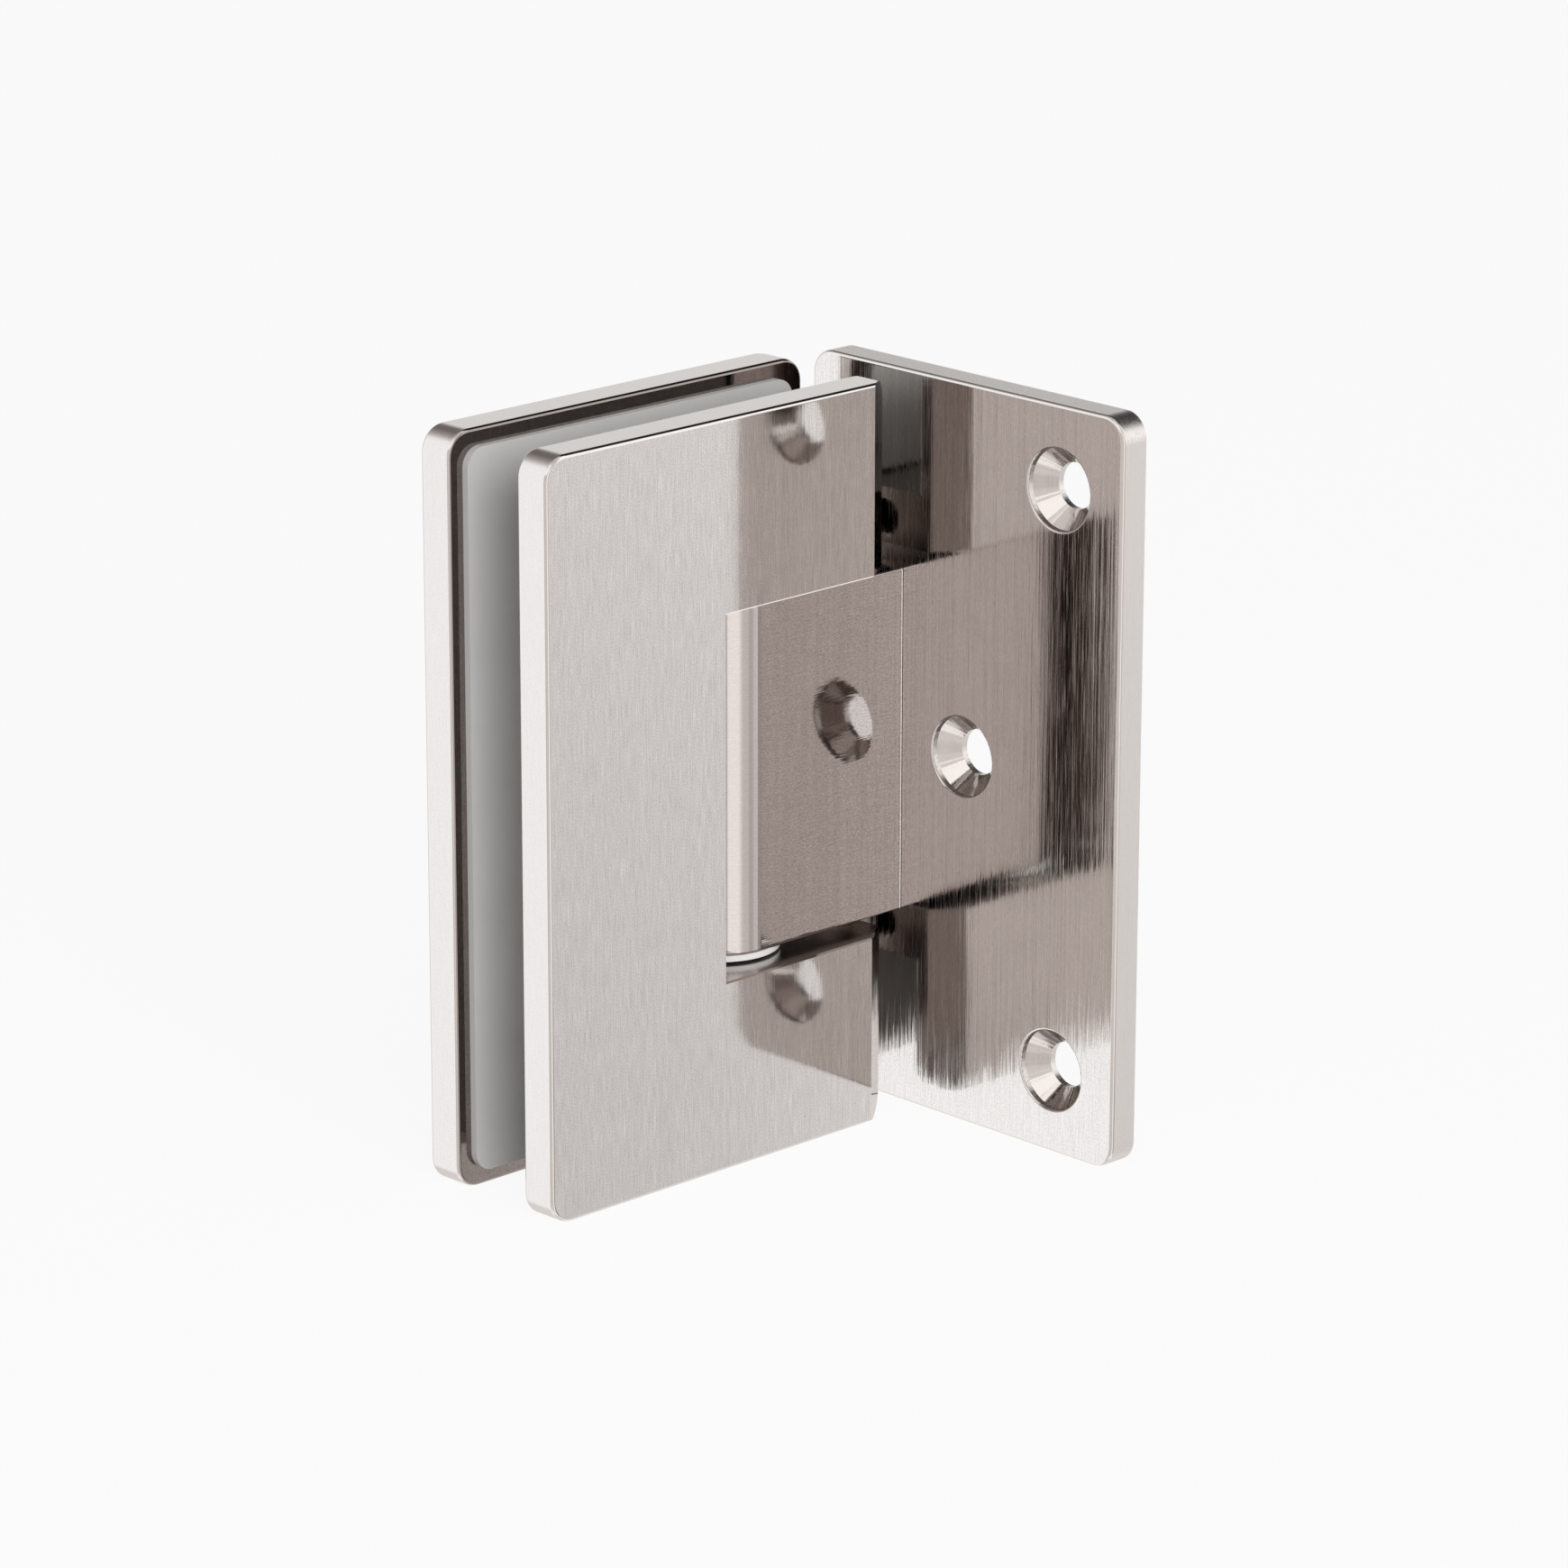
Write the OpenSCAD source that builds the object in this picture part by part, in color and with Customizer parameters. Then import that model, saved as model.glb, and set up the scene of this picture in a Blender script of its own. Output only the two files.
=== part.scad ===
// Wall to glass hinge for a frameless shower door, with an offset wall plate.
// A pivot block on the wall plate stands in a notch of the two leaves that clamp the glass.
// The pin turns with the leaves; two sprung plungers press on its flats and hold the door
// closed, and open at a right angle either way.
// X points into the wall, Y runs along the wall, Z is up. Millimetres.
// The origin is the middle screw hole, at the wall plate's back face.

/* [Hinge] */
// Height of the wall plate and of both leaves
hinge_h = 90; // [80:1:120]
// Radius of the plates' corners
corner_r = 3; // [1:0.5:5]
// Rounding of the plates' visible edges
edge_r = 0.45; // [0.2:0.05:0.6]

/* [Wall plate] */
// Width of the wall plate
plate_w = 50; // [46:1:70]
// Thickness of the wall plate
plate_t = 3.8; // [3.4:0.1:6]
// Distance of the corner screw holes from the plate's edges
screw_margin = 10; // [8:0.5:12]
// Diameter of the wall screw holes
screw_hole_d = 5.5; // [4.5:0.1:6]
// Diameter of their countersinks
screw_sink_d = 9.7; // [8.5:0.1:10.8]
// Depth of the straight wall above each countersink's cone
screw_sink_depth = 0.9; // [0.5:0.1:1.2]
// Rounding of the countersinks' rims
screw_rim_r = 0.25; // [0.1:0.05:0.4]

/* [Pivot block] */
// Thickness of the block, which is also the diameter of its round end
block_t = 14.3; // [13.5:0.1:16]
// Height of the block
block_h = 42; // [36:1:50]
// Distance of the block's back face from the plate's edge
block_inset = 0.85; // [0:0.05:3]
// Distance of the pivot axis from the wall plate's face
pivot_reach = 22.9; // [21.5:0.1:30]
// Rounding of the block's edges
block_edge_r = 0.3; // [0.1:0.1:0.5]

/* [Leaves] */
// Width of each leaf
leaf_w = 54.9; // [52:0.1:80]
// Thickness of each leaf
leaf_t = 4.8; // [4:0.1:6]
// Space between the leaves, for the glass and both gaskets
leaf_gap = 11.3; // [10.6:0.1:13]
// Gap between the leaves' hinge edge and the wall plate
wall_gap = 4.1; // [3:0.1:5]
// Width of the bevel along the leaves' hinge edge
bevel_w = 3.9; // [3:0.1:5]
// Depth of that bevel
bevel_d = 2.75; // [1.5:0.05:3.2]
// Clearance between the block's round end and the notch
notch_clear = 1.7; // [1:0.1:2.5]
// Chamfer along the notch's edges
notch_edge = 0.2; // [0.1:0.1:0.4]

/* [Boss between the leaves] */
// Width of the boss, from the hinge edge
boss_w = 42; // [42:0.5:44]
// Height of the boss's arms above and below the notch
arm_h = 6.7; // [6.4:0.1:10]
// Radius of the boss's inner corners
boss_r = 4; // [2:0.5:6]
// Gap between the boss and the rear leaf
boss_clear = 0.5; // [0.3:0.1:1]

/* [Gaskets] */
// Thickness of each gasket
gasket_t = 0.9; // [0.5:0.1:1.5]
// Distance of the gasket from the leaf's outer edges
gasket_inset = 2; // [1.5:0.1:4]
// Distance of the gasket from the leaf's hinge edge
gasket_hinge_inset = 2.4; // [2:0.1:5]
// Radius of the gasket's corners
gasket_r = 2.4; // [1:0.1:4]
// Clearance between the gasket and the boss
gasket_clear = 0.4; // [0.2:0.1:1]

/* [Pin and bearings] */
// Diameter of the pivot pin
pin_d = 8; // [7:0.1:8.4]
// Distance of the pin's ends below the boss's faces
pin_recess = 0.5; // [0.2:0.1:1]
// Chamfer of the pin's ends
pin_chamfer = 0.5; // [0.2:0.1:1]
// Wall of the sleeve bushings
bushing_wall = 1; // [0.8:0.1:1.4]
// Length of the sleeve bushings
bushing_l = 9; // [6:0.5:10]
// Thickness of the thrust washers
washer_t = 0.7; // [0.5:0.1:1]
// Free play between a washer and the leaf
washer_play = 0.3; // [0.1:0.1:0.4]

/* [Detent] */
// Depth of the flats on the pin
flat_depth = 0.3; // [0.2:0.1:0.4]
// Diameter of the plungers
plunger_d = 6.9; // [6:0.1:7.5]
// Length of the plungers
plunger_l = 9; // [7:0.5:11]
// Distance between the plungers' axes
plunger_pitch = 11; // [10:0.5:13]
// Depth of the spring pocket in a plunger
pocket_depth = 5; // [3:0.5:5.5]
// Wall round the spring pocket
pocket_wall = 0.7; // [0.5:0.1:1]
// Outer diameter of the springs
spring_d = 5; // [4:0.1:5.2]
// Wire of the springs
spring_wire = 0.8; // [0.5:0.1:1]
// Turns of each spring
spring_turns = 7; // [5:1:9]

/* [Screws] */
// Thread diameter of the block screws and the clamp screws
screw_d = 6; // [5:0.5:6]
// Head diameter of those screws
head_d = 11.4; // [10:0.2:11.6]
// Hexagon socket of those screws, across the flats
socket_af = 4; // [3:0.5:4]
// Depth of those sockets
socket_depth = 2.4; // [1.5:0.1:2.6]
// Distance of the block screws from the block's ends
block_screw_margin = 6; // [5:0.5:7]
// Length of the block screws
block_screw_l = 15; // [12:1:16]
// Distance between the clamp screws
clamp_pitch = 40; // [30:1:44]
// Length of the clamp screws
clamp_screw_l = 15; // [12:0.5:15]
// Thread diameter of the grub screws that hold the pin
grub_d = 4; // [3:0.5:4]
// Distance of the grub screws' axes from the notch
grub_rise = 3; // [2.8:0.1:3.4]
// Length of the grub screws
grub_l = 8; // [5:1:12]
// Hexagon socket of the grub screws, across the flats
grub_af = 2; // [1.5:0.1:2.2]
// Depth of the grub screws' seat in the pin
grub_seat = 0.4; // [0.2:0.1:0.6]
// Chamfer at the mouth of the grub screw holes
grub_mouth = 0.3; // [0.1:0.1:0.5]

/* [Clearances] */
// Radial clearance of a running fit
run_clear = 0.05; // [0.02:0.01:0.1]
// Radial clearance of a thread or of a fixed pin
fixed_clear = 0.03; // [0.01:0.01:0.05]
// Radial clearance of the block's bore round the pin, between the bushings
bore_clear = 0.3; // [0.2:0.1:0.5]
// Clearance of a screw's head and shank in a plate
head_clear = 0.1; // [0.05:0.05:0.2]

/* [Hidden] */
$fn = 64;

// Overshoot of a cut past the face that it leaves
over = 1;

// The pivot axis in the model's frame
pivot_x = -plate_t - pivot_reach;
pivot_y = plate_w / 2 - block_inset - block_t / 2;

// Seen from the pivot axis, with the wall at +X
leaf_right = pivot_reach - wall_gap;
leaf_left = leaf_right - leaf_w;
leaf_mid = (leaf_right + leaf_left) / 2;
leaf_in = leaf_gap / 2;
leaf_out = leaf_in + leaf_t;
boss_left = leaf_right - boss_w;
boss_rear = leaf_in - boss_clear;
notch_left = -block_t / 2 - notch_clear;
notch_h = block_h + 2 * (washer_t + washer_play);
boss_h = notch_h + 2 * arm_h;
bevel_l = norm([bevel_w, bevel_d]);
block_screw_z = block_h / 2 - block_screw_margin;

// The arms of the boss, above and below the notch, hold the pin and its grub screws
grub_z = notch_h / 2 + grub_rise;
grub_hole_d = grub_d + 2 * fixed_clear;
clamp_x = (boss_left + notch_left) / 2;
pin_r = pin_d / 2;
pin_l = boss_h - 2 * pin_recess;
bushing_r = pin_r + run_clear + bushing_wall;
bore_r = pin_r + bore_clear;

// The plungers ride on the round of the pin and drop onto its flats by flat_depth
plunger_face = pin_r + run_clear;
plunger_bore_d = plunger_d + 2 * run_clear;
plunger_chamfer = 0.4;
tip_chamfer = 0.5;
pocket_d = plunger_d - 2 * pocket_wall;
flats_margin = 1.5;
flats_l = plunger_pitch + plunger_d + 2 * flats_margin;
spring_start = plunger_face + plunger_l - pocket_depth;
spring_l = pivot_reach - spring_start;

// Places the pivot's own frame in the model
module at_pivot() {
    translate([pivot_x, pivot_y, 0]) children();
}

// Mirrors what is modelled for the upper half down to the lower half
module lower_half() {
    mirror([0, 0, 1]) children();
}

// Half of an edge profile: a flange from the axis out to r, with both outer corners rounded
module half_profile(r, t, top_e, bottom_e) {
    translate([0, bottom_e]) square([r, t - top_e - bottom_e]);
    square([r - max(top_e, bottom_e), t]);
    translate([r - top_e, t - top_e]) circle(top_e);
    if (bottom_e > 0) translate([r - bottom_e, bottom_e]) circle(bottom_e);
}

// The same profile on both sides of the axis, w wide
module full_profile(w, t, top_e, bottom_e) {
    half_profile(w / 2, t, top_e, bottom_e);
    mirror([1, 0]) half_profile(w / 2, t, top_e, bottom_e);
}

// Plate w by h, centred in XY, from z = 0 to t, with round corners and rounded edges
module edged_plate(w, h, t, r, top_e, bottom_e) {
    rotate([90, 0, 0])
        translate([0, 0, r - h / 2]) linear_extrude(h - 2 * r) full_profile(w, t, top_e, bottom_e);
    rotate([90, 0, 90])
        translate([0, 0, r - w / 2]) linear_extrude(w - 2 * r) full_profile(h, t, top_e, bottom_e);
    for (x = [r - w / 2, w / 2 - r], y = [r - h / 2, h / 2 - r])
        translate([x, y, 0]) rotate_extrude() half_profile(r, t, top_e, bottom_e);
}

// Flat outline w by h with round corners, centred
module round_outline(w, h, r) {
    square([w - 2 * r, h], center = true);
    square([w, h - 2 * r], center = true);
    for (x = [r - w / 2, w / 2 - r], y = [r - h / 2, h / 2 - r])
        translate([x, y]) circle(r);
}

// Countersunk screw with its head's face at z = 0, pointing down
module countersunk_screw(d, head, l, af, depth) {
    cone = (head - d) / 2;
    difference() {
        rotate_extrude()
            polygon([[0, 0], [head / 2, 0], [d / 2, -cone], [d / 2, tip_chamfer - l],
                     [d / 2 - tip_chamfer, -l], [0, -l]]);
        translate([0, 0, -depth]) cylinder(d = af / cos(30), h = depth + over, $fn = 6);
    }
}

// Space that such a screw needs in a plate of thickness t, its head sunk by depth
module countersink(d, head, t, depth = 0) {
    cone = (head - d) / 2;
    translate([0, 0, -depth - cone]) cylinder(d1 = d, d2 = head, h = cone);
    translate([0, 0, -t - over]) cylinder(d = d, h = t + over);
    translate([0, 0, -depth]) cylinder(d = head, h = depth + over);
}

// Ring that rounds the rim of a hole of diameter d at z = 0
module rim_round(d, r) {
    rotate_extrude() difference() {
        translate([d / 2 - r, -r]) square([2 * r, r + over]);
        translate([d / 2 + r, -r]) circle(r);
    }
}

// Hole for a wall screw, from the plate's front face
module wall_screw_hole(y, z) {
    translate([-plate_t, y, z]) rotate([0, -90, 0]) {
        countersink(screw_hole_d, screw_sink_d, plate_t, screw_sink_depth);
        rim_round(screw_sink_d, screw_rim_r);
    }
}

module wall_plate() color([0.67, 0.63, 0.61]) difference() {
    rotate([0, -90, 0]) edged_plate(hinge_h, plate_w, plate_t, corner_r, edge_r, 0);
    wall_screw_hole(0, 0);
    for (z = [-1, 1] * (hinge_h / 2 - screw_margin)) wall_screw_hole(screw_margin - plate_w / 2, z);
    for (z = [-1, 1] * block_screw_z)
        translate([0, pivot_y, z]) rotate([0, 90, 0])
            countersink(screw_d + 2 * head_clear, head_d + 2 * head_clear, plate_t);
}

// The block runs from its round end about the pivot to the wall plate
module pivot_block() color([0.6, 0.55, 0.53]) at_pivot() difference() {
    union() {
        rotate([90, 0, 90])
            linear_extrude(pivot_reach)
                translate([0, -block_h / 2]) full_profile(block_t, block_h, block_edge_r, block_edge_r);
        translate([0, 0, -block_h / 2])
            rotate_extrude() half_profile(block_t / 2, block_h, block_edge_r, block_edge_r);
    }
    cylinder(r = bore_r, h = block_h + 2 * over, center = true);
    for (side = [0, 1]) mirror([0, 0, side]) {
        translate([0, 0, block_h / 2 - bushing_l]) cylinder(r = bushing_r + fixed_clear, h = bushing_l + over);
        translate([0, 0, plunger_pitch / 2]) rotate([0, 90, 0])
            cylinder(d = plunger_bore_d, h = pivot_reach + over);
        translate([pivot_reach - block_screw_l, 0, block_screw_z]) rotate([0, 90, 0])
            cylinder(d = screw_d + 2 * fixed_clear, h = block_screw_l + over);
    }
}

module block_screw() color([0.6, 0.6, 0.6])
    translate([-head_clear / 2, pivot_y, block_screw_z]) rotate([0, 90, 0])
        countersunk_screw(screw_d, head_d, block_screw_l, socket_af, socket_depth);
module block_screw_upper() block_screw();
module block_screw_lower() lower_half() block_screw();

// Sleeve bushing, pressed into the block's end
module bushing() color([0.88, 0.87, 0.83]) at_pivot()
    translate([0, 0, block_h / 2 - bushing_l]) difference() {
        cylinder(r = bushing_r, h = bushing_l);
        translate([0, 0, -over]) cylinder(r = pin_r + run_clear, h = bushing_l + 2 * over);
    }
module bushing_upper() bushing();
module bushing_lower() lower_half() bushing();

// Thrust washer between the block and the leaf
module washer() color([0.93, 0.93, 0.9]) at_pivot()
    translate([0, 0, block_h / 2]) difference() {
        cylinder(d = block_t, h = washer_t);
        translate([0, 0, -over]) cylinder(r = bore_r, h = washer_t + 2 * over);
    }
module washer_upper() washer();
module washer_lower() lower_half() washer();

// Plunger, drawn where the round of the pin holds it back; its pocket takes the spring
module plunger() color([0.75, 0.75, 0.76]) at_pivot()
    translate([plunger_face, 0, plunger_pitch / 2]) rotate([0, 90, 0]) difference() {
        rotate_extrude()
            polygon([[0, 0], [plunger_d / 2 - plunger_chamfer, 0], [plunger_d / 2, plunger_chamfer],
                     [plunger_d / 2, plunger_l], [0, plunger_l]]);
        translate([0, 0, plunger_l - pocket_depth]) cylinder(d = pocket_d, h = pocket_depth + over);
    }
module plunger_upper() plunger();
module plunger_lower() lower_half() plunger();

// Points of a ring of wire at fraction f along the spring, whose end turns lie closed
ring_sides = 8;
turn_steps = 20;
coil_r = (spring_d - spring_wire) / 2;
function coil_height(f) = let (closed = 1 / spring_turns, g = (f - closed) / (1 - 2 * closed))
    spring_wire / 2 + (spring_l - spring_wire) * (
        f < closed ? f * spring_wire / (spring_l - spring_wire) / closed :
        f > 1 - closed ? 1 - (1 - f) * spring_wire / (spring_l - spring_wire) / closed :
        spring_wire / (spring_l - spring_wire) + g * (1 - 2 * spring_wire / (spring_l - spring_wire)));
function wire_ring(f) = let (a = 360 * spring_turns * f)
    [for (k = [0:ring_sides - 1]) let (b = 360 * k / ring_sides, r = coil_r + spring_wire / 2 * cos(b))
        [r * cos(a), r * sin(a), coil_height(f) + spring_wire / 2 * sin(b)]];

// Compression spring along +Z from z = 0
module coil_spring() {
    rings = spring_turns * turn_steps;
    points = [for (i = [0:rings]) each wire_ring(i / rings)];
    sides = [for (i = [0:rings - 1], k = [0:ring_sides - 1]) let (n = (k + 1) % ring_sides)
        [i * ring_sides + k, i * ring_sides + n, (i + 1) * ring_sides + n, (i + 1) * ring_sides + k]];
    start_cap = [[for (k = [ring_sides - 1:-1:0]) k]];
    end_cap = [[for (k = [0:ring_sides - 1]) rings * ring_sides + k]];
    polyhedron(points, concat(sides, start_cap, end_cap));
}
module spring() color([0.55, 0.55, 0.56]) at_pivot()
    translate([spring_start, 0, plunger_pitch / 2]) rotate([0, 90, 0]) coil_spring();
module spring_upper() spring();
module spring_lower() lower_half() spring();

// Places what is modelled along +X on the bevel, which starts at the leaf's outer face
module at_bevel() {
    translate([leaf_right - bevel_w, -leaf_out, 0]) rotate([0, 0, atan2(bevel_d, bevel_w)]) children();
}

// Leaf with its inner face towards +Y, seen from the pivot axis
// Its bevel lets the hinge edge pass the wall plate as the door swings
module leaf_plate() difference() {
    translate([leaf_mid, -leaf_in, 0]) rotate([90, 0, 0])
        edged_plate(leaf_w, hinge_h, leaf_t, corner_r, edge_r, edge_r);
    at_bevel() translate([-over, -bevel_w, -hinge_h / 2 - over])
        cube([bevel_l + 2 * over, bevel_w, hinge_h + 2 * over]);
}

// Cuts the chamfers of the notch's edges in a face that runs l along +X and looks to -Y
module notch_chamfer(l) {
    mouth = notch_h / 2 + notch_edge;
    translate([-over, 0, 0]) rotate([90, 0, 90]) linear_extrude(l + 2 * over)
        polygon([[-over, -mouth], [0, -mouth], [over, over - mouth],
                 [over, mouth - over], [0, mouth], [-over, mouth]]);
}

// Notch for the block, chamfered at the leaf's outer face, the bevel and the hinge edge
module notch_cut() {
    half = notch_h / 2;
    mouth = half + notch_edge;
    back = leaf_out + over;
    translate([notch_left, 0, 0]) rotate([90, 0, 90])
        linear_extrude(leaf_right - notch_left + over)
            polygon([[-leaf_out, -mouth], [notch_edge - leaf_out, -half], [back, -half],
                     [back, half], [notch_edge - leaf_out, half], [-leaf_out, mouth],
                     [-back, mouth], [-back, -mouth]]);
    at_bevel() notch_chamfer(bevel_l);
    translate([leaf_right, bevel_d - leaf_out, 0]) rotate([0, 0, 90]) notch_chamfer(2 * leaf_out);
}

// Outline of the boss in the XZ plane, square at the hinge edge
module boss_outline(grow) {
    w = boss_w + grow;
    h = boss_h + 2 * grow;
    translate([leaf_right - w, 0]) {
        translate([boss_r, -h / 2]) square([w - boss_r, h]);
        translate([0, boss_r - h / 2]) square([w, h - 2 * boss_r]);
        for (z = [boss_r - h / 2, h / 2 - boss_r]) translate([boss_r, z]) circle(boss_r);
    }
}

// Front leaf in one piece with the boss that fills the glass's cut-out and holds the pin
module front_leaf() color([0.67, 0.64, 0.61]) at_pivot() difference() {
    union() {
        leaf_plate();
        translate([0, boss_rear, 0]) rotate([90, 0, 0])
            linear_extrude(boss_rear + leaf_in + over) boss_outline(0);
    }
    notch_cut();
    cylinder(r = pin_r + fixed_clear, h = boss_h + 2 * over, center = true);
    for (side = [0, 1]) mirror([0, 0, side]) {
        translate([0, 0, grub_z]) rotate([0, 90, 0]) cylinder(d = grub_hole_d, h = leaf_right + over);
        translate([leaf_right - grub_mouth, 0, grub_z]) rotate([0, 90, 0])
            cylinder(d1 = grub_hole_d, d2 = grub_hole_d + 2 * grub_mouth, h = grub_mouth);
        translate([clamp_x, leaf_out - clamp_screw_l - over, clamp_pitch / 2]) rotate([-90, 0, 0])
            cylinder(d = screw_d + 2 * fixed_clear, h = clamp_screw_l);
    }
}

// Rear leaf, the cover that the clamp screws pull onto the glass
module rear_leaf() color([0.67, 0.64, 0.61]) at_pivot() difference() {
    mirror([0, 1, 0]) difference() {
        leaf_plate();
        notch_cut();
    }
    for (z = [-1, 1] * clamp_pitch / 2)
        translate([clamp_x, leaf_out, z]) rotate([-90, 0, 0])
            countersink(screw_d + 2 * head_clear, head_d + 2 * head_clear, leaf_t);
}

// Gasket on a leaf's inner face, cut out round the boss
module gasket() color([0.62, 0.62, 0.61]) {
    w = leaf_w - gasket_inset - gasket_hinge_inset;
    h = hinge_h - 2 * gasket_inset;
    rotate([90, 0, 0]) linear_extrude(gasket_t) difference() {
        translate([leaf_left + gasket_inset + w / 2, 0]) round_outline(w, h, gasket_r);
        boss_outline(gasket_clear);
    }
}
module front_gasket() at_pivot() translate([0, gasket_t - leaf_in, 0]) gasket();
module rear_gasket() at_pivot() translate([0, leaf_in, 0]) gasket();

// Pin with chamfered ends, four flats for the plungers and a seat for each grub screw
module pivot_pin() color([0.78, 0.78, 0.79]) at_pivot() difference() {
    rotate_extrude()
        polygon([[0, -pin_l / 2], [pin_r - pin_chamfer, -pin_l / 2], [pin_r, pin_chamfer - pin_l / 2],
                 [pin_r, pin_l / 2 - pin_chamfer], [pin_r - pin_chamfer, pin_l / 2], [0, pin_l / 2]]);
    for (a = [0:90:270]) rotate([0, 0, a])
        translate([pin_r - flat_depth, -pin_r, -flats_l / 2]) cube([pin_r, pin_d, flats_l]);
    for (z = [-grub_z, grub_z])
        translate([pin_r - grub_seat, 0, z]) rotate([0, 90, 0]) cylinder(d = grub_hole_d, h = pin_r);
}

// Grub screw with a hexagon socket, its point on the pin's seat
module grub_screw() color([0.45, 0.45, 0.46]) at_pivot()
    translate([pin_r - grub_seat + fixed_clear, 0, grub_z]) rotate([0, 90, 0]) difference() {
        rotate_extrude()
            polygon([[0, 0], [grub_d / 4, 0], [grub_d / 2, grub_d / 4], [grub_d / 2, grub_l], [0, grub_l]]);
        translate([0, 0, grub_l - grub_af]) cylinder(d = grub_af / cos(30), h = grub_af + over, $fn = 6);
    }
module grub_screw_upper() grub_screw();
module grub_screw_lower() lower_half() grub_screw();

module clamp_screw() color([0.7, 0.68, 0.66]) at_pivot()
    translate([clamp_x, leaf_out - head_clear / 2, clamp_pitch / 2]) rotate([-90, 0, 0])
        countersunk_screw(screw_d, head_d, clamp_screw_l, socket_af, socket_depth);
module clamp_screw_upper() clamp_screw();
module clamp_screw_lower() lower_half() clamp_screw();

wall_plate();
pivot_block();
block_screw_upper();
block_screw_lower();
bushing_upper();
bushing_lower();
washer_upper();
washer_lower();
plunger_upper();
plunger_lower();
spring_upper();
spring_lower();
front_leaf();
rear_leaf();
front_gasket();
rear_gasket();
pivot_pin();
grub_screw_upper();
grub_screw_lower();
clamp_screw_upper();
clamp_screw_lower();
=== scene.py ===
import math
import bpy
from mathutils import Matrix, Vector

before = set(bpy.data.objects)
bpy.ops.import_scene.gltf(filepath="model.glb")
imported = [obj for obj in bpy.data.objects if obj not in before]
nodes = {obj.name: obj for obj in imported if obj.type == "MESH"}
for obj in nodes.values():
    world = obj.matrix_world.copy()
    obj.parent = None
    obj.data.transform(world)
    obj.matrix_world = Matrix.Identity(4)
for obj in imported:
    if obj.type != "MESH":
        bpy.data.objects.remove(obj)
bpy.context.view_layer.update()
scene = bpy.context.scene

MM = 0.001
UP = (0.0, 0.0, 1.0)
WHITE = (1.0, 1.0, 1.0)

# The camera, fitted to the photograph. Angles are in degrees, lens and sensor in mm.
CAMERA_POS = (-525.28 * MM, -508.63 * MM, 219.82 * MM)
CAMERA_YAW = 44.085
CAMERA_PITCH = -17.037
CAMERA_ROLL = 0.085
CAMERA_LENS = 149.30
CAMERA_SENSOR = 36.0
CAMERA_NEAR = 0.01
CAMERA_FAR = 20.0

# The floor: its height, its width, its colour, and how much of it the camera meets as plain white
FLOOR_Z = -45.0 * MM
FLOOR_SIZE = 12.0
FLOOR_COLOR = (0.84, 0.84, 0.84)
FLOOR_WHITE = 0.92

# The one lamp, a soft square one that mirrors don't show
KEY_PLACE = (-0.5, -0.95, 0.5)
KEY_AIM = (-0.05, 0.0, 0.0)
KEY_SIZE = 0.6
KEY_POWER = 6.8

# The wall plate's screw holes: the outer ones' places beside and above the middle one, and the
# sinks' radius. Their turned rings: how many lie round the axis, and how far they lean.
SINK_Y = -15.0 * MM
SINK_Z = 35.0 * MM
SINK_R = 4.95 * MM
SINK_RINGS = 9.0
SINK_TWIST = 0.4
# The boss on the front leaf lies within this depth of the pivot axis
PIVOT_Y = 17.0 * MM
BOSS_DEPTH = 5.4 * MM
# The leaves' faces towards the glass lie within this depth of the pivot axis, and are darkened by this
# tint: painted shade for the slot between the leaves
SLOT_DEPTH = 5.75 * MM
SLOT_PAINTED_SHADE = (0.44, 0.40, 0.385)
# The notch's level faces lie within this height and beside this x, and are darkened by this share:
# painted shade in the notch
NOTCH_Z = 30.0 * MM
NOTCH_X = -36.0 * MM
NOTCH_PAINTED_SHADE = 0.2
# The broken edge of the notch's ceiling lies above this height, and is turned this way to catch the light
BROW_Z = 21.8 * MM
BROW_TURN = (-5.0, -8.7, 0.0)
# The block's broken edge beside the wall plate lies beyond this x, and is turned this way
SEAM_X = -3.95 * MM
SEAM_TURN = (-0.6, 0.0, 0.0)

# How much more than half of the grooves lean down, and how much less they do on the plate from
# about this height up
LEANING = 0.03
CALM = 0.85
CALM_Z = -27.0 * MM
CALM_SOFT = 8.0 * MM
# Where the pattern of each material starts, for each unit of its seed
SEED_WAY = (1.0, 0.7, 0.3)
# Size of the specks in brushed metal, how many short hairs follow each other in a groove's length,
# and how much of the longer grooves is left beside the hairs
GRAIN = 0.16 * MM
HAIR = 8.0
LONG_SHARE = 0.5
# How much of the grooves' and the specks' brightness stays off the flat faces
SHADE_OFF_FLAT = 0.3
GRAIN_OFF_FLAT = 0.2

# How softly masks end: at an edge of the part, and inside a face
EDGE_SOFT = 0.02 * MM
INNER_SOFT = 0.05 * MM
# Limits of how much a face looks along an axis, each with its softness: wholly, nearly, more along it
# than across it, partly, and hardly
WHOLLY = (0.9985, 0.001)
NEARLY = (0.9, 0.05)
MOSTLY = (0.5, 0.1)
PARTLY = (0.4, 0.1)
HARDLY = (0.06, 0.05)

# Matt plastic and rubber: how fine the grain is and how wide the clouds are, per metre, the height of
# the grain and its strength, and how much the colour and the roughness vary
PLASTIC_GRAIN = 4000.0
PLASTIC_CLOUDS = 120.0
PLASTIC_DEPTH = 0.02 * MM
PLASTIC_BUMP = 0.5
PLASTIC_SHADE = 0.08
PLASTIC_ROUGH = 0.1

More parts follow.
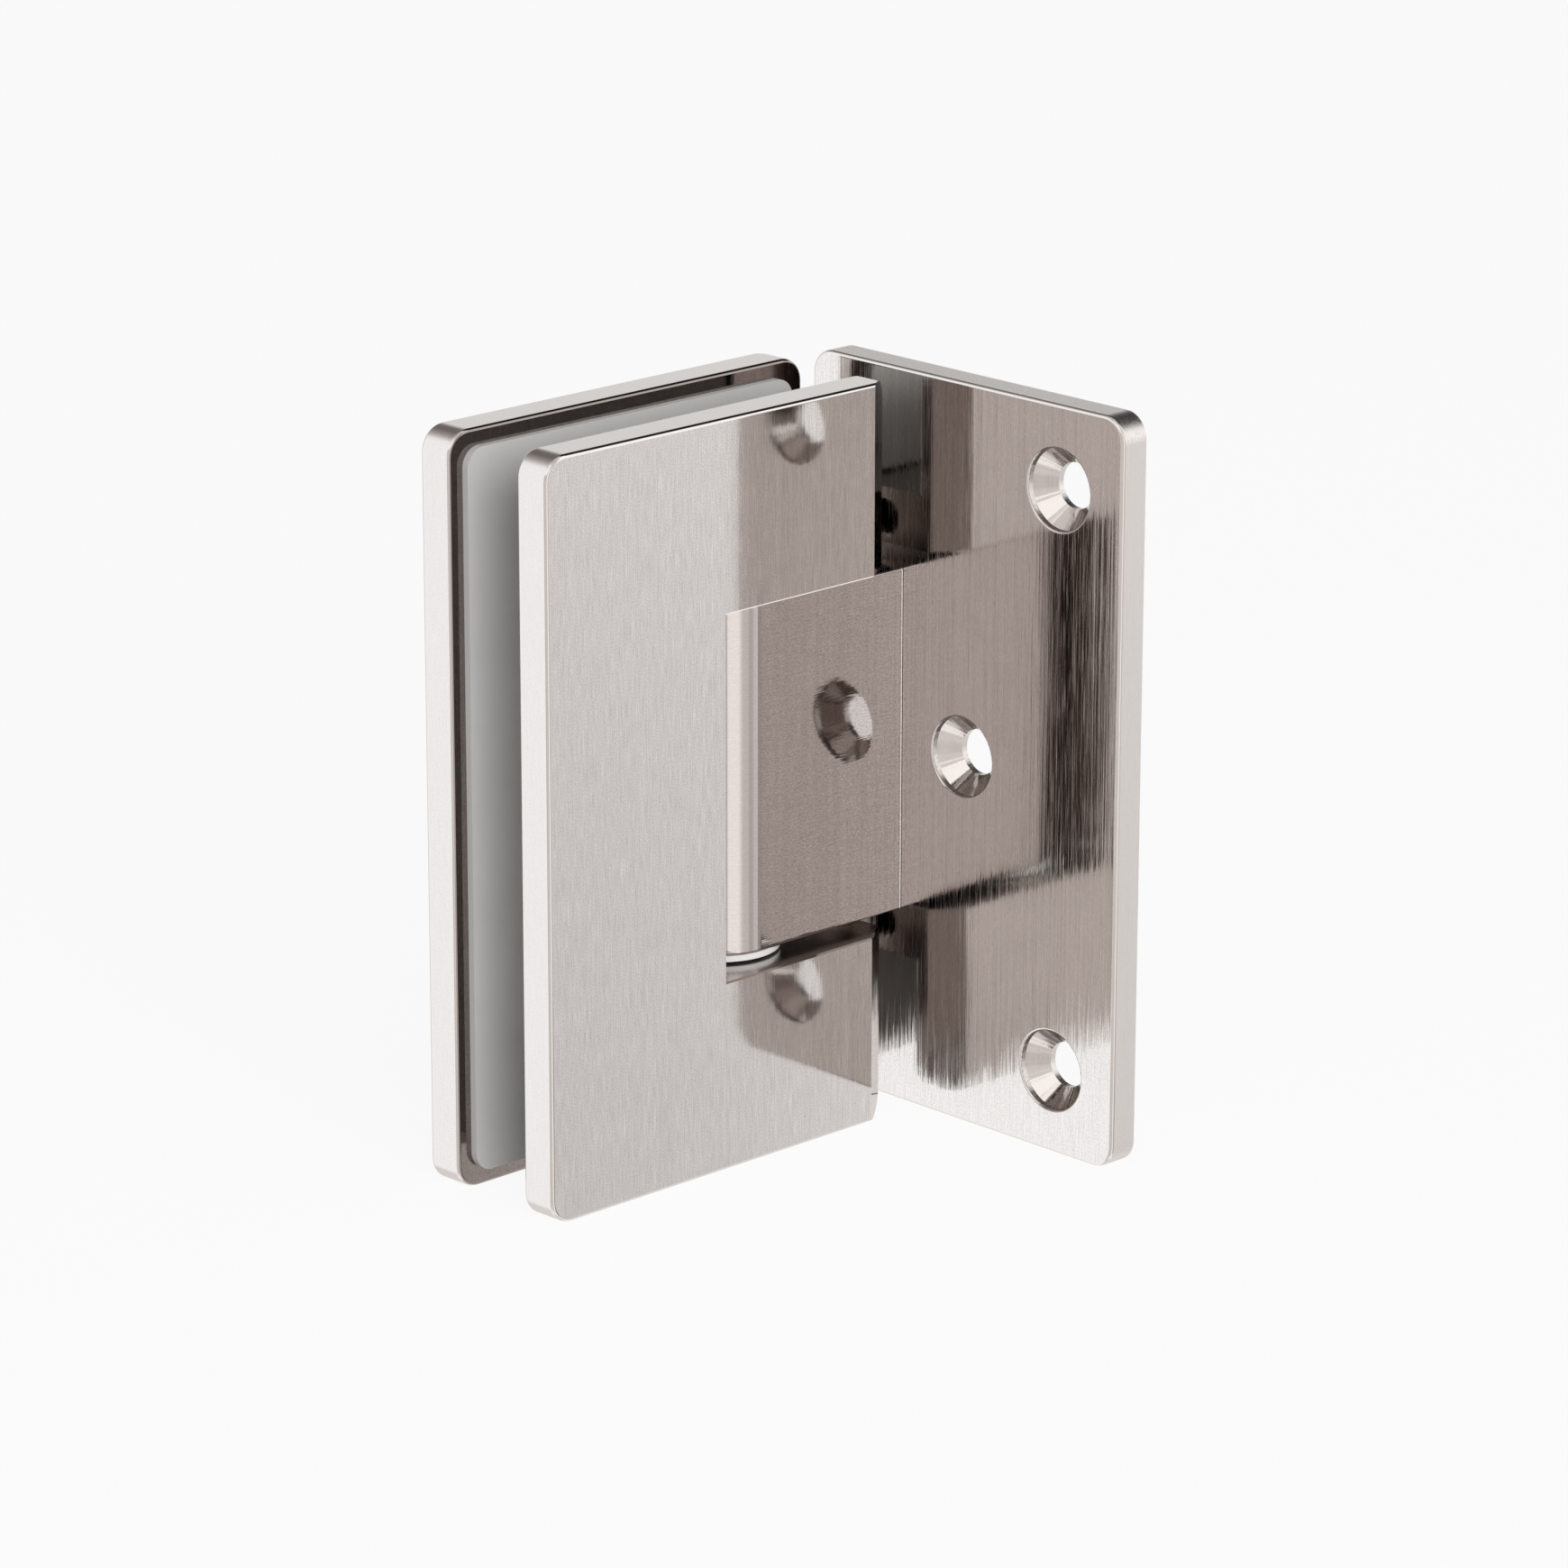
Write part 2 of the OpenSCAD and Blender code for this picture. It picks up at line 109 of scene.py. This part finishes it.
# The studio, as mirror rays meet it. Bearings are degrees from +X towards +Y, and run on from
# STUDIO_START round to it again. Heights are degrees above the horizon. Each edge has its own
# softness. A later panel covers an earlier one.
STUDIO_BASE = (0.84, 0.805, 0.785)
STUDIO_START = 80.0
STUDIO_PANELS = [
    # bearing from, bearing to, height from, height to, colour
    ((80, 5), (440, 5), (-68, 6), (-48, 6), (1.3, 1.3, 1.3)),
    ((110, 8), (158, 8), (-60, 8), (40, 8), (1.27, 1.31, 1.33)),
    ((162, 6), (190, 6), (-60, 8), (30, 8), (0.75, 0.73, 0.71)),
    ((165, 6), (230, 4), (22, 4), (62, 6), (1.4, 1.38, 1.36)),
    ((214, 3), (225.4, 1.3), (-60, 8), (24, 4), (0.93, 0.885, 0.865)),
    ((225.4, 1.3), (242, 2), (-60, 8), (24, 4), (0.70, 0.665, 0.65)),
    ((242, 2), (268, 6), (-48, 6), (30, 8), (1.33, 1.32, 1.30)),
    ((284, 3), (294, 3), (-48, 6), (25, 8), (0.66, 0.63, 0.62)),
    ((296, 3), (350, 2), (-48, 6), (4, 14), (0.80, 0.80, 0.80)),
    ((314.4, 1.1), (350, 2), (-48, 6), (4, 14), (0.96, 0.96, 0.96)),
    ((286, 1), (299, 1), (-40, 3), (-19.1, 0.3), (0.14, 0.13, 0.125)),
    ((296, 8), (350, 8), (-8, 14), (52, 14), (1.45, 1.45, 1.45)),
    ((350, 8), (470, 8), (-6, 6), (21, 3), (0.92, 0.92, 0.92)),
    ((390, 10), (462, 30), (23, 4), (66, 5), (0.2, 0.18, 0.17)),
    ((328, 8), (402, 6), (23, 4), (66, 5), (0.02, 0.018, 0.016)),
    ((60, 5), (104, 22), (28, 8), (66, 5), (0.28, 0.26, 0.25)),
    ((80, 5), (440, 5), (68, 6), (95, 1), (0.6, 0.6, 0.6)),
]
# How bright the studio is in a mirror ray's third and later mirrors, and in its second one where the
# ray is steeper than this, with its softness. A ray's glossy depth counts its mirrors.
STUDIO_FADE = (0.36, 0.327, 0.315)
STEEP = (36.0, 4.0)
PAST_FIRST = 1.5
PAST_SECOND = 2.5
# The soft light on matt parts: its level, how much more comes from its main side, and its least level
DOME_LEVEL = 0.13
DOME_LEAN = 0.8
DOME_LEAST = 0.12
DOME_SIDE = (-0.35, -0.91, 0.22)


def make_camera():
    yaw, pitch, roll = (math.radians(a) for a in (CAMERA_YAW, CAMERA_PITCH, CAMERA_ROLL))
    look = Vector((math.sin(yaw) * math.cos(pitch), math.cos(yaw) * math.cos(pitch), math.sin(pitch)))
    right = Vector((math.cos(yaw), -math.sin(yaw), 0.0))
    up = right.cross(look)
    x = right * math.cos(roll) + up * math.sin(roll)
    y = up * math.cos(roll) - right * math.sin(roll)
    data = bpy.data.cameras.new("camera")
    data.lens = CAMERA_LENS
    data.sensor_width = CAMERA_SENSOR
    data.sensor_fit = "HORIZONTAL"
    data.clip_start = CAMERA_NEAR
    data.clip_end = CAMERA_FAR
    cam = bpy.data.objects.new("camera", data)
    scene.collection.objects.link(cam)
    turn = Matrix((x, y, -look)).transposed().to_4x4()
    cam.matrix_world = Matrix.Translation(Vector(CAMERA_POS)) @ turn
    scene.camera = cam


class Tree:
    """A material's or the world's nodes, made and linked in short calls."""

    # A Mix node's sockets for colours
    COLOR_A, COLOR_B, COLOR_OUT = 6, 7, 2

    def __init__(self, owner):
        owner.use_nodes = True
        self.tree = owner.node_tree
        self.tree.nodes.clear()

    def add(self, kind, inputs=None, **settings):
        """A new node. Each input is a plain value, or an output of another node."""
        node = self.tree.nodes.new(kind)
        for key, value in settings.items():
            setattr(node, key, value)
        for key, value in (inputs or {}).items():
            if isinstance(value, bpy.types.NodeSocket):
                self.tree.links.new(value, node.inputs[key])
            else:
                node.inputs[key].default_value = value
        return node

    def math(self, operation, *values):
        return self.add("ShaderNodeMath", dict(enumerate(values)), operation=operation).outputs[0]

    def plus(self, total, *others):
        for value in others:
            total = self.math("ADD", total, value)
        return total

    def minus(self, first, second):
        return self.math("SUBTRACT", first, second)

    def times(self, total, *others):
        for value in others:
            total = self.math("MULTIPLY", total, value)
        return total

    def absolute(self, value):
        return self.math("ABSOLUTE", value)

    def positive(self, value):
        """The value, or 0 where it is less."""
        return self.math("MAXIMUM", value, 0.0)

    def rest(self, value):
        """What is left of 1."""
        return self.minus(1.0, value)

    def step(self, value, edge, soft):
        """0 below the edge and 1 above it, with a soft change between."""
        limits = {"Value": value, "From Min": edge - soft, "From Max": edge + soft}
        return self.add("ShaderNodeMapRange", limits, interpolation_type="SMOOTHSTEP").outputs[0]

    def vector(self, operation, *values):
        return self.add("ShaderNodeVectorMath", dict(enumerate(values)), operation=operation).outputs[0]

    def scaled(self, way, amount):
        return self.add("ShaderNodeVectorMath", {0: way, "Scale": amount}, operation="SCALE").outputs[0]

    def split(self, value):
        return self.add("ShaderNodeSeparateXYZ", {0: value}).outputs

    def noise(self, value, scale=1.0, detail=1.0, rough=0.5):
        inputs = {"Vector": value, "Scale": scale, "Detail": detail, "Roughness": rough}
        return self.add("ShaderNodeTexNoise", inputs).outputs

    def centred(self, noise):
        """A noise's value, around 0."""
        return self.minus(noise["Fac"], 0.5)

    def mix(self, factor, first, second, blend_type="MIX"):
        """A colour. Each of the two is a plain one, or an output of another node."""
        first, second = (c if isinstance(c, bpy.types.NodeSocket) else (*c, 1.0) for c in (first, second))
        inputs = {0: factor, self.COLOR_A: first, self.COLOR_B: second}
        node = self.add("ShaderNodeMix", inputs, data_type="RGBA", blend_type=blend_type)
        return node.outputs[self.COLOR_OUT]

    def tint(self, color, factor):
        return self.mix(1.0, color, factor, "MULTIPLY")

    def blend(self, factor, first, second):
        """A shader between two shader nodes."""
        return self.add("ShaderNodeMixShader", {0: factor, 1: first.outputs[0], 2: second.outputs[0]})


def groove_pattern(t, place, pitch, length, level, seed):
    """Three uneven values, the same all along a groove but for the third one's hairs, and the value
    of the fine specks. All are around 0."""
    moved = t.vector("ADD", place, tuple(seed * part for part in SEED_WAY))
    wide, high = (length, pitch) if level else (pitch, length)
    cells = t.vector("MULTIPLY", moved, (1 / wide / MM, 1 / wide / MM, 1 / high / MM))
    grooves = t.noise(cells, detail=2.0, rough=0.6)["Color"]
    first, second, third = t.split(t.vector("SUBTRACT", grooves, (0.5, 0.5, 0.5)))
    hairs = t.noise(t.vector("MULTIPLY", cells, (HAIR, 1.0, 1.0) if level else (1.0, 1.0, HAIR)))
    third = t.plus(t.times(third, LONG_SHARE), t.centred(hairs))
    specks = t.noise(t.vector("MULTIPLY", moved, (1 / GRAIN, 1 / GRAIN, 1 / GRAIN)))
    return first, second, third, t.centred(specks)


def sink_place(t, y, z):
    """How far a point is from the axis of the nearest screw hole, and the way round that axis."""
    up = t.absolute(z)
    outer = t.math("GREATER_THAN", up, SINK_Z / 2)
    across = t.minus(y, t.times(outer, SINK_Y))
    along = t.times(t.minus(up, t.times(outer, SINK_Z)), t.math("SIGN", z))
    spoke = t.add("ShaderNodeCombineXYZ", {1: across, 2: along}).outputs[0]
    reach = t.add("ShaderNodeVectorMath", {0: spoke}, operation="LENGTH").outputs["Value"]
    turn = t.vector("NORMALIZE", t.vector("CROSS_PRODUCT", (1.0, 0.0, 0.0), spoke))
    return reach, turn


def turned_sinks(t, y, z, lean):
    """The lean of the plate's grooves, with that of the turned rings in its screw holes."""
    reach, turn = sink_place(t, y, z)
    inside = t.rest(t.step(reach, SINK_R, INNER_SOFT))
    rings = t.noise(t.vector("MULTIPLY", turn, (0.0, SINK_RINGS, SINK_RINGS)))
    twist = t.times(t.centred(rings), SINK_TWIST, inside)
    return t.vector("ADD", t.scaled(lean, t.rest(inside)), t.scaled(turn, twist))


def notch_brow(t, facing, z):
    """How the broken front edge of the notch's ceiling is turned."""
    looks = t.split(t.scaled(facing, -1.0))
    brow = t.times(t.step(looks[1], *PARTLY), t.step(looks[2], *PARTLY), t.step(z, BROW_Z, EDGE_SOFT))
    return t.scaled(BROW_TURN, brow)


def painted_leaf_shade(t, facing, toward, depth, x, z):
    """Painted shade: the darkening tint of the leaves' faces towards the glass, and how bright the
    notch's level faces are under their painted shade.
    """
    slot = t.positive(t.minus(t.step(toward, *MOSTLY), t.step(depth, SLOT_DEPTH, EDGE_SOFT)))
    # painted shade in the notch: its level faces beside the block are darkened in colour
    level = t.step(t.absolute(t.split(facing)[2]), *NEARLY)
    painted_notch_mask = t.minus(level, t.step(t.absolute(z), NOTCH_Z, EDGE_SOFT))
    painted_notch_mask = t.positive(t.times(painted_notch_mask, t.step(x, NOTCH_X, EDGE_SOFT)))
    return t.mix(slot, WHITE, SLOT_PAINTED_SHADE), t.rest(t.times(painted_notch_mask, NOTCH_PAINTED_SHADE))


def brushed(name, color, rough, face, pitch=0.18, length=50.0, level=False, drop=0.0, sway=0.0,
            shade=0.24, grain=0.24, side_rough=0.0, scratch=0.0, seed=0.0,
            leaf=False, plate=False, block=False):
    """Brushed metal. Its grooves are pitch mm wide and length mm long. They run upright, or level
    round the part with level. On the faces along the face axis they lean: drop is how far some of
    them lean downwards only, sway how far they lean to both sides. shade and grain are how much the
    grooves and the fine specks differ in brightness. side_rough is added to the roughness of the
    narrow sides, and scratch to that of the lighter grooves.
    leaf keeps the boss smooth, darkens the faces towards the glass and in the notch as painted shade, and
    turns the broken edge of the notch's ceiling. plate adds the turned finish of the screw holes, and
    calms the grooves above its lower end. block turns its broken edge beside the wall plate."""
    mat = bpy.data.materials.new(name)
    t = Tree(mat)
    coords = t.add("ShaderNodeTexCoord").outputs
    place, facing = coords["Object"], coords["Normal"]
    x, y, z = t.split(place)
    first, second, third, specks = groove_pattern(t, place, pitch, length, level, seed)
    toward = t.absolute(t.split(facing)["XYZ".index(face)])
    flat = t.step(toward, *WHOLLY)
    if leaf:
        depth = t.absolute(t.minus(y, PIVOT_Y))
        flat = t.times(flat, t.step(depth, BOSS_DEPTH, INNER_SOFT))

    down = t.times(t.positive(t.plus(first, LEANING)), -drop)
    if plate:
        down = t.times(down, t.rest(t.times(t.step(z, CALM_Z, CALM_SOFT), CALM)))
    side = t.times(second, t.absolute(second), sway)
    sideways = UP if level else t.vector("NORMALIZE", t.vector("CROSS_PRODUCT", UP, facing))
    lean = t.vector("ADD", t.scaled(sideways, side), t.scaled(UP, down))
    lean = t.scaled(lean, flat)
    if plate:
        lean = turned_sinks(t, y, z, lean)
    if leaf:
        lean = t.vector("ADD", lean, notch_brow(t, facing, z))
    if block:
        broken = t.times(t.step(x, SEAM_X, EDGE_SOFT), t.step(toward, *MOSTLY))
        lean = t.vector("ADD", lean, t.scaled(SEAM_TURN, broken))
    lean = t.add("ShaderNodeVectorTransform", {0: lean}, vector_type="VECTOR",
                 convert_from="OBJECT", convert_to="WORLD").outputs[0]
    normal = t.add("ShaderNodeNewGeometry").outputs["Normal"]
    normal = t.vector("NORMALIZE", t.vector("ADD", normal, lean))

    shading = t.times(third, t.plus(flat, SHADE_OFF_FLAT), shade)
    sparkle = t.times(specks, grain, t.plus(t.times(flat, 1.0 - GRAIN_OFF_FLAT), GRAIN_OFF_FLAT))
    tone = t.plus(shading, sparkle, 1.0)
    if leaf:
        # painted shade: the faces towards the glass and the notch's level faces are darkened in colour
        painted_slot_shade, bright = painted_leaf_shade(t, facing, toward, depth, x, z)
        base = t.vector("MULTIPLY", t.tint(color, t.times(tone, bright)), painted_slot_shade)
    else:
        base = t.tint(color, tone)
    edge_on = t.rest(t.step(toward, *HARDLY))
    coarse = t.plus(rough, t.times(edge_on, side_rough), t.times(t.positive(third), scratch),
                    t.times(third, rough))
    shader = t.add("ShaderNodeBsdfPrincipled", {"Base Color": base, "Metallic": 1.0, "Roughness": coarse,
                                                "Normal": normal})
    t.add("ShaderNodeOutputMaterial", {"Surface": shader.outputs[0]})
    return mat


def soft_plastic(name, color, rough):
    """Matt plastic or rubber with a fine grain and slightly uneven colour."""
    mat = bpy.data.materials.new(name)
    t = Tree(mat)
    place = t.add("ShaderNodeTexCoord").outputs["Object"]
    fine = t.noise(place, PLASTIC_GRAIN, detail=3.0)
    clouds = t.noise(place, PLASTIC_CLOUDS, detail=2.0)
    bump = t.add("ShaderNodeBump", {"Height": fine["Fac"], "Distance": PLASTIC_DEPTH,
                                    "Strength": PLASTIC_BUMP})
    tone = t.plus(t.times(t.centred(clouds), PLASTIC_SHADE), 1.0)
    coarse = t.plus(t.times(t.centred(fine), PLASTIC_ROUGH), rough)
    shader = t.add("ShaderNodeBsdfPrincipled", {"Base Color": t.tint(color, tone), "Roughness": coarse,
                                                "Normal": bump.outputs[0]})
    t.add("ShaderNodeOutputMaterial", {"Surface": shader.outputs[0]})
    return mat


def finish_nodes():
    """Gives every CAD node its material, small parts by a word of their names."""
    nickel = (0.67, 0.632, 0.611)
    leaf = brushed("leaf_metal", nickel, 0.07, "Y", pitch=0.08, length=25.0, drop=0.03, sway=0.2,
                   shade=0.48, grain=0.72, side_rough=0.12, leaf=True)
    plate = brushed("plate_metal", nickel, 0.06, "X", pitch=0.09, drop=0.75, sway=1.2,
                    shade=0.42, grain=0.48, side_rough=0.22, scratch=1.0, seed=2.1, plate=True)
    block = brushed("block_metal", (0.59, 0.54, 0.52), 0.06, "Y", length=4.0, level=True, drop=0.12,
                    sway=0.6, shade=0.48, grain=1.04, seed=1.3, block=True)
    pin = brushed("pin_metal", (0.70, 0.70, 0.71), 0.2, "Z", length=20.0, level=True, seed=3.0)
    screw = brushed("screw_metal", (0.68, 0.66, 0.64), 0.18, "X", length=1.0, level=True, seed=4.0)
    wire = brushed("spring_metal", (0.48, 0.48, 0.5), 0.28, "Z", length=1.0, level=True, seed=5.0)
    nylon = soft_plastic("nylon_white", (0.92, 0.915, 0.90), 0.45)
    rubber = soft_plastic("gasket_grey", (0.62, 0.615, 0.60), 0.5)
    by_name = {"wall_plate": plate, "pivot_block": block, "front_leaf": leaf, "rear_leaf": leaf,
               "front_gasket": rubber, "rear_gasket": rubber, "pivot_pin": pin}
    by_word = {"screw": screw, "bushing": nylon, "washer": nylon, "plunger": pin, "spring": wire}
    for name, obj in nodes.items():
        finish = by_name.get(name)
        for word, mat in by_word.items():
            if word in name:
                finish = mat
        for slot in obj.material_slots:
            slot.material = finish


def make_stage():
    """A white floor. The camera meets it mostly as plain white paper, with the part's soft shadow.
    Mirror rays go on to the studio below it, as if the part stood on a glass table."""
    bpy.ops.mesh.primitive_plane_add(size=FLOOR_SIZE, location=(0.0, 0.0, FLOOR_Z))
    floor = bpy.context.object
    floor.name = "floor"
    mat = bpy.data.materials.new("floor_white")
    t = Tree(mat)
    seen = t.add("ShaderNodeLightPath").outputs
    direct = t.math("MAXIMUM", seen["Is Camera Ray"], seen["Is Transmission Ray"])
    diffuse = t.add("ShaderNodeBsdfDiffuse", {"Color": (*FLOOR_COLOR, 1.0)})
    white = t.add("ShaderNodeEmission", {"Color": (*WHITE, 1.0), "Strength": 1.0})
    clear = t.add("ShaderNodeBsdfTransparent")
    paper = t.blend(t.times(direct, FLOOR_WHITE), diffuse, white)
    paper = t.blend(seen["Is Glossy Ray"], paper, clear)
    t.add("ShaderNodeOutputMaterial", {"Surface": paper.outputs[0]})
    floor.data.materials.append(mat)


def make_key():
    data = bpy.data.lights.new("key", "AREA")
    data.shape = "SQUARE"
    data.size = KEY_SIZE
    data.energy = KEY_POWER
    lamp = bpy.data.objects.new("key", data)
    scene.collection.objects.link(lamp)
    lamp.location = KEY_PLACE
    lamp.rotation_euler = (Vector(KEY_AIM) - Vector(KEY_PLACE)).to_track_quat("-Z", "Y").to_euler()
    lamp.visible_glossy = False


def make_world():
    """White for the camera, the studio for mirror rays, and a soft dome for matt parts."""
    world = bpy.data.worlds.new("world")
    scene.world = world
    t = Tree(world)
    way = t.add("ShaderNodeTexCoord").outputs["Generated"]
    x, y, z = t.split(way)
    bearing = t.times(t.math("ARCTAN2", y, x), 180 / math.pi)
    bearing = t.plus(bearing, t.times(t.math("LESS_THAN", bearing, STUDIO_START), 360.0))
    height = t.times(t.math("ARCSINE", z), 180 / math.pi)
    color = STUDIO_BASE
    for start, end, low, high, bright in STUDIO_PANELS:
        across = t.minus(t.step(bearing, *start), t.step(bearing, *end))
        along = t.minus(t.step(height, *low), t.step(height, *high))
        color = t.mix(t.times(across, along), color, bright)
    seen = t.add("ShaderNodeLightPath").outputs
    mirrors = seen["Glossy Depth"]
    steep = t.times(t.math("GREATER_THAN", mirrors, PAST_FIRST), t.step(t.absolute(height), *STEEP))
    late = t.math("MAXIMUM", t.math("GREATER_THAN", mirrors, PAST_SECOND), steep)
    color = t.vector("MULTIPLY", color, t.mix(late, WHITE, STUDIO_FADE))
    studio = t.add("ShaderNodeBackground", {"Color": color, "Strength": 1.0})
    side = t.add("ShaderNodeVectorMath", {0: way, 1: DOME_SIDE}, operation="DOT_PRODUCT").outputs["Value"]
    soft = t.math("MAXIMUM", t.plus(t.times(side, DOME_LEAN), DOME_LEVEL), DOME_LEAST)
    dome = t.add("ShaderNodeBackground", {"Color": (*WHITE, 1.0), "Strength": soft})
    plain = t.add("ShaderNodeBackground", {"Color": (*WHITE, 1.0), "Strength": 1.0})
    both = t.blend(seen["Is Glossy Ray"], dome, studio)
    both = t.blend(seen["Is Camera Ray"], both, plain)
    t.add("ShaderNodeOutputWorld", {"Surface": both.outputs[0]})


make_camera()
finish_nodes()
make_stage()
make_key()
make_world()

scene.view_settings.view_transform = "Standard"
